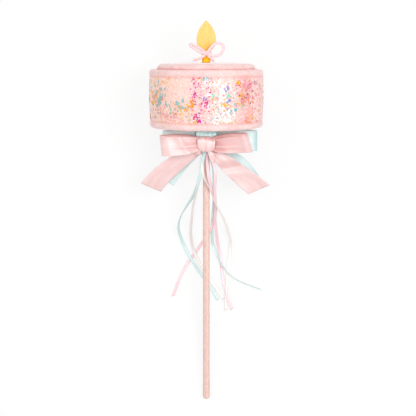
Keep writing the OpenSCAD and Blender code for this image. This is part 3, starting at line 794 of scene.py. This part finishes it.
LOOSE_FLAKES = [GOLD, MAGENTA, TEAL, AMBER, ROSE, CORAL, GOLD, LILAC]
FINE_FLAKES = [WHITE, BLUSH, ROSE, BLUSH]
BACK_FLAKES = [TEAL, GOLD, AMBER, MAGENTA, ROSE, WHITE, OPAL, LILAC, CORAL, WHITE, BLUSH]
LOOSE_COUNT = 260
FLAKE_CORNERS = 6
FLAKE_SEED = 21


def flake_spots(rng):
    """Turn, height, size and colour of each flake: the drifts, loose ones, fine ones, and those round the back."""
    spots = []
    for colour, size, count, across, height, wide, tall in FLAKE_DRIFTS:
        x = np.clip(rng.normal(across, wide, count), -53, 53)
        h = np.clip(rng.normal(height, tall, count), 7.6, 47.9)
        spread = rng.uniform(0.75, 1.25, count)
        spots += [(math.asin(a / PANEL_R), b, size * c, colour) for a, b, c in zip(x, h, spread)]
    for _ in range(LOOSE_COUNT):
        colour = LOOSE_FLAKES[rng.integers(len(LOOSE_FLAKES))]
        across = rng.uniform(-52, 50)
        top = 46 if across > -14 else 24
        spots.append((math.asin(across / PANEL_R), rng.uniform(8, top), rng.uniform(0.35, 0.65), colour))
    for count, middle, reach, heights, sizes, colours in (
        (500, 0, 1.5, (7.2, 48.3), (0.25, 0.5), FINE_FLAKES),
        (1100, math.pi, 1.8, (7.4, 48.1), (0.35, 1.0), BACK_FLAKES),
    ):
        for _ in range(count):
            turn = middle + rng.uniform(-reach, reach)
            height, size = rng.uniform(*heights), rng.uniform(*sizes)
            spots.append((turn, height, size, colours[rng.integers(len(colours))]))
    return spots


def flakes():
    """Many small plates lying on the side panel, each tipped a little its own way."""
    rng = np.random.default_rng(FLAKE_SEED)
    spots = flake_spots(rng)
    points, places, colours = [], [], []
    cells = math.ceil(math.sqrt(len(spots)))
    for number, (turn, height, size, colour) in enumerate(spots):
        r = panel_radius(height) + 0.62 + rng.uniform(0, 0.12)
        middle = cake(r, turn, height)
        right = unit(cake(r, turn + 0.01, height) - middle)
        up = unit(cake(r, turn, height + 0.1) - middle)
        out = np.cross(right, up)
        right = unit(right + out * rng.normal(0, 0.16))
        up = unit(up + out * rng.normal(0, 0.16))
        spin, stretch = rng.uniform(0, math.pi), 1 + (colour == TEAL) * rng.uniform(0, 1.1)
        column, row = number % cells + 0.5, number // cells + 0.5
        for a in spin + np.arange(FLAKE_CORNERS) * TURN / FLAKE_CORNERS:
            points.append(middle + (right * math.cos(a) + up * math.sin(a) * stretch) * size * MM)
            places.append(((column + 0.4 * math.cos(a)) / cells, (row + 0.4 * math.sin(a)) / cells))
            colours.append(colour)
    points = np.array(points)
    above_table(points)
    faces = np.arange(len(points)).reshape(-1, FLAKE_CORNERS).tolist()
    mesh = piece("glitter_flakes", (points, faces, places), FLAKE_FILM, "wand").data
    mesh.uv_layers[0].name = "OFBake"
    tones = mesh.attributes.new("flake", "FLOAT_COLOR", "POINT")
    tones.data.foreach_set("color", np.array(colours, np.float32).ravel())


flakes()

# Stick
SEAM_TURN = 0.24
HEM_RINGS = [8.5, 16]


def upright(r, turn, along):
    """Points round the stick; turn is 0 on its upper side and grows to the right."""
    return laid(r * np.sin(turn), r * np.cos(turn), along)


def sleeve_shape(r, turn, along, waves):
    ridge = 0.2 * bell((turn - SEAM_TURN) / 0.12) - 0.14 * bell((turn - SEAM_TURN - 0.3) / 0.1)
    return ridge + 0.07 * waves(17, 31), 0


def hem_shape(r, turn, along, waves):
    rings = sum(-0.32 * bell((along - ring) / 0.45) for ring in HEM_RINGS)
    gather = np.exp(-np.maximum(along - 0.3, 0) / 2.5) * 0.12 * np.sin(turn * 14)
    ridge = 0.2 * bell((turn - SEAM_TURN) / 0.13) * ease(along / 4)
    return (rings + gather + ridge) * ease(r / 2), 0


sleeve_w = np.linspace(HEM_LENGTH - 0.6, STICK_LENGTH + 3, 190)
sleeve_r = STICK_R - 0.25 + (HEM_R - STICK_R) * ease((sleeve_w - SEAT_W) / 2)
sleeve = np.c_[sleeve_r, sleeve_w]
turned("sleeve_cloth", "stick_sleeve", SLEEVE, sleeve, sleeve_shape, columns=56, thickness=0.5, place=upright)
end_angles = np.radians(np.linspace(8, 90, 14))
hem_w = np.r_[HEM_R * (1 - np.cos(end_angles)), np.linspace(HEM_R, HEM_LENGTH, 46)[1:], HEM_LENGTH]
hem_r = np.r_[HEM_R * np.sin(end_angles), np.full(45, HEM_R), HEM_R - 0.6]
turned("hem_cloth", "stick_end_cap", SLEEVE, np.c_[hem_r, hem_w], hem_shape, columns=56, place=upright, gap=0.02)

# Candle


def stem_shape(r, turn, along, waves):
    return 0.1 * waves(4, 41) * ease(r / 2), 0


foot_angles = np.radians(np.linspace(8, 88, 10))
top_angles = np.radians(np.linspace(0, 86, 9))
stem = np.vstack(
    [
        np.c_[STEM_R * np.sin(foot_angles), CANDLE_W - STEM_R * np.cos(foot_angles)],
        [[STEM_R + 0.15, CANDLE_W + 0.6], [STEM_R, CANDLE_W + 2], [STEM_R - 0.05, CANDLE_W + 3]],
        np.c_[1.6 + (STEM_R - 1.65) * np.cos(top_angles), STEM_TOP - 2.4 + 2.5 * np.sin(top_angles)],
        [[0.3, STEM_TOP + 0.15]],
    ]
)
turned("candle_stub", "candle_stem", STUB_GOLD, stem, stem_shape, columns=40, place=upright, body="candle")


def flame_half_width(along):
    """Half width of the flame: one arc up to the tip and one down to the neck."""
    rise, drop = TIP_W - FLAME_MID, FLAME_MID - NECK_TOP
    up = (FLAME_HALF**2 + rise**2) / (2 * FLAME_HALF)
    down = ((FLAME_HALF - NECK_HALF) ** 2 + drop**2) / (2 * (FLAME_HALF - NECK_HALF))
    d = along - FLAME_MID
    upper = FLAME_HALF - up + np.sqrt(np.maximum(up**2 - d**2, 0))
    lower = FLAME_HALF - down + np.sqrt(np.maximum(down**2 - np.minimum(d, 0) ** 2, 0))
    return np.where(d > 0, np.maximum(upper, 0.12), np.where(along < NECK_TOP, NECK_HALF, lower))


def flame_layer(name, side, node_name):
    """One leatherette layer with a pressed crease; its edges lean back a little."""
    along = np.r_[np.linspace(STEM_TOP - 2, NECK_TOP, 5)[:-1], np.linspace(NECK_TOP, TIP_W, 56)][:, None]
    v = np.linspace(-1, 1, 31)[None]
    across = flame_half_width(along) * v
    height = (along - NECK_TOP) / (TIP_W - NECK_TOP)
    pressed = 0.25 * bell((across - FLAME_CREASE) / 0.5) * ease(height * 6)
    roof = 0.5 * (1 - np.abs(v)) * ease(height * 4) - pressed
    curl = 0.5 * np.sin(height * 5) * (1 + 0.3 * v)
    front = side * (FLAME_T / 2 + roof * 0.7) + curl * ease(height * 3)
    grid = laid(across, front, along)
    uv = np.stack(np.broadcast_arrays(across, along - NECK_TOP), -1)
    piece(name, shell(grid[:, ::side], uv[:, ::side], FLAME_T * 0.9), FLAME_GOLD, "candle", node_name)


flame_layer("flame_front_layer", 1, "flame_front")
flame_layer("flame_back_layer", -1, "flame_back")

# Cord bow of the candle: routes from the middle of its knot, as across, front and along
WRAP_R = math.hypot(NECK_HALF, FLAME_T) + 0.1 + CORD_D / 2
WRAP_W = STEM_TOP + 0.1 + CORD_D / 2
KNOT_FRONT = WRAP_R + CORD_D / 4
CORD_ROUTES = {
    "candle_bow_loop_left": [
        [-1, -0.5, 1], [-5.2, -1.4, 4], [-9, -1.8, 6.2], [-12.8, -1.4, 8.2], [-15, 0.2, 8.2], [-14.6, 1.6, 6.4],
        [-11, 2.2, 4], [-6.8, 2.2, 1.6], [-1.2, 0.8, -0.3],
    ],
    "candle_bow_loop_right": [
        [1.2, 0.5, 0.9], [4.4, 0.6, 5.2], [8, 0.4, 8.6], [12, 0, 9.6], [15.6, -0.2, 8], [16.8, -0.2, 4.6], [15, 0, 0.6],
        [11, 0.4, -2.2], [6.4, 0.6, -2.4], [1.2, 0.5, -0.8],
    ],
    "candle_bow_tail_left": [[-0.8, -0.4, -1.4], [-4.6, -0.8, -4.1], [-8.6, -2, -5.6], [-12.8, -4, -6.8]],
    "candle_bow_tail_right": [[0.9, 0.2, -1.6], [4.4, -0.8, -4.4], [6.2, -2.2, -6.2], [7.4, -4, -7.6]],
}
CORD_SIDES = 18


def candle_cord(name, path, radius, node_name=None):
    """Cord of three twisted strands along a path in metres; painted shade marks the depth between the strands."""
    ahead = unit(np.gradient(path, axis=0))
    side = np.cross(ahead[0], [0.3, 0.2, 1])
    frames = []
    for direction in ahead:
        side = unit(side - direction * (side @ direction))
        frames.append((side, np.cross(direction, side)))
    angles = np.linspace(0, TURN, CORD_SIDES, endpoint=False)
    along = lengths(path) / MM
    lobes = np.abs(np.cos(1.5 * (angles[None] - along[:, None] * 1.9)))
    from_end = np.minimum(along, along[-1] - along)
    size = radius * (0.8 + 0.2 * lobes) * np.sqrt(np.clip(from_end / 0.7 + 0.12, 0, 1))[:, None]
    ring = np.array([[s * math.cos(a) + u * math.sin(a) for a in angles] for s, u in frames])
    grid = path[:, None] + ring * size[..., None] * MM
    uv = plain_uv(np.linspace(0, TURN * radius, CORD_SIDES + 1), along)
    made = piece(name, solid(grid[:, ::-1], uv), CANDLE_CORD, "candle", node_name)
    set_painted_shade(made, 1 - lobes[:, ::-1])


for name, route in CORD_ROUTES.items():
    x, front, along = spline(route, 0.45).T
    path = laid(x, KNOT_FRONT + front, WRAP_W + along)
    candle_cord(name.replace("candle_bow", "cord_bow"), path, CORD_D / 2, name)

turns = np.linspace(-2.9, 2.9, 60)
wrap_path = laid(3.9 * np.sin(turns), (WRAP_R - 0.8) * np.cos(turns), WRAP_W + 0.3 + 0.2 * turns)
candle_cord("cord_bow_wrap", wrap_path, CORD_D / 2, "candle_bow_knot")
turns = np.linspace(0, TURN, 40)
knot_across = 1.15 * np.sin(turns) + 0.5 * np.sin(2 * turns)
knot_path = laid(knot_across, KNOT_FRONT + 0.55 + 0.55 * np.sin(3 * turns), WRAP_W + 1.1 * np.cos(turns))
candle_cord("cord_bow_knot", knot_path, CORD_D * 0.42)

# Bows: finish of each ribbon, then the front and along of the middle of its loops
SATIN_T = 0.3
GATHER_T = 0.4
PINK_MID = KNOT_BACK + KNOT_T / 2
BOWS = {
    "pink": (PINK_SATIN, PINK_MID, KNOT_MID),
    "mint": (MINT_SATIN, MINT_FRONT + MINT_GATHER_T / 2, MINT_MID),
}
HANDS = {"left": -1, "right": 1}


def square(a):
    """A sine or cosine with fuller corners."""
    return np.sign(a) * np.abs(a) ** 0.72


def belt(name, node_name, paint, middle, width, height, depth, pleats, seed):
    """Gathered ribbon wound round the root of a bow; middle is its place as front and along."""
    u = np.linspace(-1, 1, 33)[:, None]
    angles = np.linspace(0, TURN, 64, endpoint=False)[None]
    phase = np.random.default_rng(seed).uniform(0, TURN, 3)
    slanted = math.pi * pleats * (u + 0.16 * np.cos(angles + phase[2]))
    folds = np.sin(slanted + phase[0]) + 0.5 * np.sin(slanted * 1.7 + phase[1])
    bulge = np.sqrt(1 - 0.35 * u**6) * (1 - 0.05 * u**2)
    size = bulge + 0.05 * folds + 0.07 * np.sin(2.2 * u + 2 * angles + phase[1])
    front = middle[0] + depth / 2 * square(np.sin(angles)) * size
    along = middle[1] + height / 2 * square(np.cos(angles)) * size
    across = u * width / 2 * (1 - 0.05 * np.cos(2 * angles) + 0.07 * np.cos(angles))
    uv = plain_uv(u[:, 0] * 9, np.linspace(0, height * 2 + depth, angles.size + 1)).swapaxes(0, 1)
    made = piece(name, shell(laid(across, front, along), uv, GATHER_T, wrap=True), paint, "wand", node_name)
    # painted shade in the fold valleys and at the sides where the loops go in
    shade_share = np.clip(-0.42 * folds - 0.1, 0, 0.7) + 0.5 * np.abs(u) ** 8
    set_painted_shade(made, np.clip(shade_share, 0, 0.8))


def ribbon(kind, colour, side, grid, along, shade_share, flip, body=None):
    """Loop or tail of a bow; along is the length up to each row, shade_share how much painted shade each point takes.
    """
    uv = plain_uv(np.linspace(-1, 1, grid.shape[1]) * RIBBON_W / 2, along)
    made = shell(grid[:, ::flip], uv[:, ::flip], SATIN_T)
    made = piece(f"{colour}_ribbon_{kind}_{side}", made, BOWS[colour][0], body, f"{colour}_{kind}_{side}")
    set_painted_shade(made, shade_share[:, ::flip])
    return made


def bow_loop(
    colour, side, root, reach, depth, gather, pleat, phase, sweep, sag, skew, twist, crease, bend, folds, edge, painted_shade_amount
):
    """Ribbon loop: out from the knot, round its end and back, pleated at the knot.

    sweep, sag, skew and twist lead it aside; crease and bend turn its upper edge down; folds are place, slope, width
    and height; edge and painted_shade_amount, at root and end, add painted shade to it."""
    middle, level = BOWS[colour][1:]
    out = np.array([0, 0.25, 0.5, 0.75, 0.92, 1.0, 0.96, 0.8, 0.5, 0.25, 0])
    rise = np.array([0.1, 0.62, 0.9, 1.0, 0.92, 0.45, 0, -0.5, -0.75, -0.5, -0.1])
    route = spline(np.c_[out * (reach - root), rise * depth / 2, 0 * out], 0.9)
    share, lift = route[:, :1] / (reach - root), route[:, 1:2]
    v = np.linspace(-1, 1, 41)[None]
    upper = (lift > 0) * 1.0
    half = (gather + (RIBBON_W - gather) * np.sin(np.pi / 2 * np.clip(share / 0.6, 0, 1))) / 2
    near = np.clip(1 - share, 0, 1) ** 1.8
    pleats = np.cos(v * 8 + phase) + 0.6 * np.cos(v * 13 + 2 * phase)
    front = middle - sweep * share + lift + pleat * near * pleats * np.clip(share * 8, 0.3, 1)
    for place, slope, width, height in folds:
        front = front + upper * height * bell((share - place - slope * v) / width)
    bent = np.clip((v - crease) / (1 - crease), 0, 1)
    front = front - upper * bend * bent**1.4 * np.clip(share * 1.6, 0, 1)
    roll = twist * np.clip(share * 1.5, 0, 1)
    front = front - v * half * np.sin(roll)
    across = HANDS[side] * (root + share * (reach - root) - skew * v * share**2)
    place = level + sag * share + half * v * np.cos(roll) - upper * bend * 0.35 * bent**2 * share
    # painted shade: deeper in the pleats at the knot, at the loop's end (edge) and over its upper face
    # (painted_shade_amount)
    shade_share = near**1.5 * np.clip(0.35 - 0.6 * pleats, 0, 1) + edge * ease(share * 14 - 13)
    shade_share = np.clip(shade_share + upper * (painted_shade_amount[0] + (painted_shade_amount[1] - painted_shade_amount[0]) * share**4), 0, 0.85)
    grid, along = laid(across, front, place), lengths(route)
    made = ribbon("loop", colour, side, grid, along, shade_share, HANDS[side], "wand")


def bow_tail(
    colour, side, bearings, reach, height, droop, twist, slant, wave, untwist=0, curl=0, fold=0, painted_shade_amount=0, edge=0
):
    """Ribbon tail: fans out from the stitch, droops and ends in a slanting cut.

    bearings are those of its root and end; painted_shade_amount paints shade at the fold, and edge paints shade along
    the outer edge."""
    hand = HANDS[side]
    s = np.linspace(0, 1, 64)[:, None]
    v = np.linspace(-1, 1, 25)[None]
    root, root_width = 1.1, 5
    r = root + (reach - root) * s
    bearing = np.radians(bearings[0] + (bearings[1] - bearings[0]) * s)
    ahead = np.c_[np.sin(bearing), -np.cos(bearing)]
    aside = np.c_[np.cos(bearing), np.sin(bearing)] * hand
    half = (root_width + (RIBBON_W - root_width) * np.sin(np.pi / 2 * np.clip(s / 0.8, 0, 1))) / 2
    roll = twist * ease(s * 1.4) * (1 - untwist * ease(s * 2.5 - 1.5))
    sideways = half * v * np.cos(roll)
    forward = r + slant / 2 * s**2 * v
    plan = PIVOT[:2] + ahead[:, None] * forward[..., None] + aside[:, None] * sideways[..., None]
    relief = half * v * np.sin(roll) + wave * np.sin(s * 7.5 + 0.6) * (1 + 0.4 * v) * ease(s * 1.6)
    relief = relief + curl * s**4 * np.clip(v * 1.2 - 0.1, 0, 1) ** 2
    relief = relief - fold * bell((s - 0.46 - 0.1 * v) / 0.09)
    relief = relief + 0.8 * (1 - ease(s * 2.2)) * np.cos(v * 6) * ease(s * 12)
    z = height - SLOPE * r - droop * s**2 + relief
    grid = MM * np.dstack([plan, z])
    # painted shade: deeper between the pleats at the root, at the fold and along the outer edge near the tip
    shade_share = 0.6 * (1 - ease(s * 5)) * np.clip(0.5 - np.cos(v * 6), 0, 1)
    shade_share = shade_share + painted_shade_amount * bell((s - 0.4 - 0.1 * v) / 0.1) + edge * ease(v * 3 - 2) * ease(s * 3 - 1.4)
    made = ribbon("tail", colour, side, grid, r[:, 0], np.clip(shade_share, 0, 0.8), -hand)
    swing(made)


knot = ("pink_knot_wrap", "pink_knot", PINK_SATIN, (PINK_MID, KNOT_MID))
belt(*knot, width=KNOT_W, height=KNOT_H, depth=KNOT_T, pleats=3, seed=51)
gather = ("mint_gathered", "mint_gather", MINT_PAINTED_BRIGHTER, (MINT_FRONT + MINT_GATHER_T * 1.1, MINT_MID + 1.5))
belt(*gather, width=MINT_GATHER_W, height=MINT_GATHER_H, depth=MINT_GATHER_T * 1.4, pleats=5, seed=52)

# edge and painted_shade_amount in these settings set how much shade is painted on the loops
PINK_LOOP = dict(root=KNOT_W / 2 - 1.4, depth=12, gather=13.5, pleat=1.1, edge=0)
PINK_LEFT = dict(reach=43.5, sweep=0, sag=-1.1, skew=-1, twist=0.06, phase=1.0, crease=0.75, bend=1.4, painted_shade_amount=(0, 0))
PINK_RIGHT = dict(reach=41.8, sweep=-4, sag=2.4, skew=3, twist=-0.32, phase=2.4, crease=0.45, bend=3, painted_shade_amount=(0.32, -0.1))
MINT_LOOP = dict(root=MINT_GATHER_W / 2 - 1, depth=8, gather=12, pleat=0.5, edge=0.5, sag=-2.8, skew=0, twist=0)
MINT_LOOP.update(crease=0.7, bend=0.6, folds=[])
bow_loop("pink", "left", **PINK_LOOP, **PINK_LEFT, folds=[(0.42, 0.16, 0.1, 1.5), (0.8, 0.05, 0.1, 1.3)])
bow_loop("pink", "right", **PINK_LOOP, **PINK_RIGHT, folds=[(0.25, -0.1, 0.12, 0.8), (0.85, 0, 0.09, 1.5)])
bow_loop("mint", "left", **MINT_LOOP, reach=42, sweep=1, phase=0.5, painted_shade_amount=(0, 0))
bow_loop("mint", "right", **MINT_LOOP, reach=49.5, sweep=5, phase=1.5, painted_shade_amount=(0, 0.4))

# painted_shade_amount and edge in these settings set how much shade is painted on the tails
PINK_CURLED = dict(droop=3.5, twist=0.45, slant=11, wave=0.5, untwist=0.9, curl=5, fold=3, painted_shade_amount=0.25)
bow_tail("pink", "left", (-70, -55), 67, PINK_LEFT_Z, droop=9, twist=0.5, slant=11, wave=0.6)
bow_tail("pink", "right", (52, 52), 66, PINK_RIGHT_Z, **PINK_CURLED)
bow_tail("mint", "left", (-73, -53.5), 52, MINT_LEFT_Z, droop=9, twist=0.15, slant=8, wave=0.4)
bow_tail("mint", "right", (76, 53), 53, MINT_RIGHT_Z, droop=7, twist=-0.1, slant=10, wave=0.4, edge=0.6)


def knot_end(name, start, end, width):
    """Short end of the knot's ribbon that shows under the knot; start and end are across, front and along."""
    path = spline([start, np.mean([start, end], axis=0) + [0, 0.9, 0], end], 0.8)
    v = np.linspace(-1, 1, 11)
    share = np.linspace(0, 1, len(path))[:, None]
    half = width / 2 * (0.55 + 0.45 * ease(share * 1.5))
    ahead = unit(path[-1] - path[0])
    aside = np.array([ahead[2], 0, -ahead[0]])
    grid = path[:, None] + aside * (half * v[None])[..., None] + ahead * (0.25 * width * share**2 * v[None])[..., None]
    grid[..., 1] += 0.5 * np.cos(v[None] * 4) * (1 - 0.5 * share)
    made = shell(laid(*np.moveaxis(grid, -1, 0)), plain_uv(v * width / 2, lengths(path)), SATIN_T)
    piece(name, made, PINK_SATIN, "wand")


knot_end("knot_end_right", (2.2, KNOT_BACK + 2, KNOT_MID - 5.5), (7.6, KNOT_BACK + 1.5, KNOT_MID - 17), width=5.5)
knot_end("knot_end_left", (-6, KNOT_BACK + 2, KNOT_MID - 4.5), (-8.4, KNOT_BACK + 1.5, KNOT_MID - 10.5), width=4)

# Wound band that carries both bows
BAND_ROWS = 61
BAND_PITCH = 6.5


def band_shape(r, turn, along, waves):
    return 0.12 * np.mod(np.floor((along - SEAT_W) / BAND_PITCH + turn / TURN), 2) - 0.1, 0


band = np.c_[np.full(BAND_ROWS, BAND_R - 0.25), np.linspace(SEAT_W + 2, SEAT_W + 22, BAND_ROWS)]
turned("wound_band", "bow_band", PINK_SATIN, band, band_shape, columns=72, thickness=GATHER_T, place=upright)

# Nodes that stay as they are, with a finish of their own
for name, paint in (("stick_dowel", WOOD), ("bow_stitch", THREAD)):
    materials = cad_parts[name].data.materials
    materials.clear()
    materials.append(paint)

# Floor and light
SKY_LIGHT = 0.62
FLOOR_HALF = 3


def seen_directly(nodes):
    """1 for a ray from the camera, also by way of metal or glass, and 0 for the light that falls on the object."""
    path = nodes.node("LightPath").outputs
    return nodes.larger(path["Is Camera Ray"], nodes.larger(path["Is Glossy Ray"], path["Is Transmission Ray"]))


def floor_paint():
    """Pale floor that the camera sees as white, with the shadows that fall on it."""
    made = bpy.data.materials.new("floor")
    nodes = Nodes(made)
    matt = nodes.node("BsdfDiffuse", {"Color": (0.9, 0.9, 0.9, 1)}).outputs[0]
    white = nodes.node("Emission", {"Color": (1, 1, 1, 1), "Strength": 1}).outputs[0]
    both = nodes.node("MixShader", {0: nodes.times(seen_directly(nodes), 0.8), 1: matt, 2: white}).outputs[0]
    ready = nodes.tree.nodes
    ready.remove(ready["Principled BSDF"])
    nodes.tree.links.new(both, ready["Material Output"].inputs["Surface"])
    return made


floor_corners = [(x * FLOOR_HALF, y * FLOOR_HALF, 0) for x, y in ((-1, -1), (1, -1), (1, 1), (-1, 1))]
floor_mesh = bpy.data.meshes.new("floor")
floor_mesh.from_pydata(floor_corners, [], [[0, 1, 2, 3]])
floor_mesh.materials.append(floor_paint())
linked("floor", floor_mesh)


def softbox(name, place, aim, size, watts):
    """Round area lamp that looks from its place at its aim."""
    lamp = bpy.data.lights.new(name, "AREA")
    lamp.shape, lamp.size, lamp.energy = "DISK", size, watts
    made = linked(name, lamp)
    made.location = place
    made.rotation_euler = (Vector(aim) - Vector(place)).to_track_quat("-Z", "Y").to_euler()


softbox("key", (0.62, 0.1, 1.4), (0, 0.05, 0.04), size=0.7, watts=6.8)
softbox("fill", (-0.75, 0.1, 1.1), (0, 0.05, 0.04), size=0.9, watts=2)
softbox("overhead", (0.05, 0.08, 1.6), (0, 0.05, 0), size=0.9, watts=5)

world = bpy.data.worlds.new("studio")
sky = Nodes(world)
backdrop = sky.tree.nodes["Background"].inputs
backdrop["Color"].default_value = (1, 1, 1, 1)
raised = sky.times(seen_directly(sky), 1 - SKY_LIGHT)
sky.tree.links.new(sky.plus(raised, SKY_LIGHT), backdrop["Strength"])
bpy.context.scene.world = world
bpy.context.scene.view_settings.view_transform = "Standard"
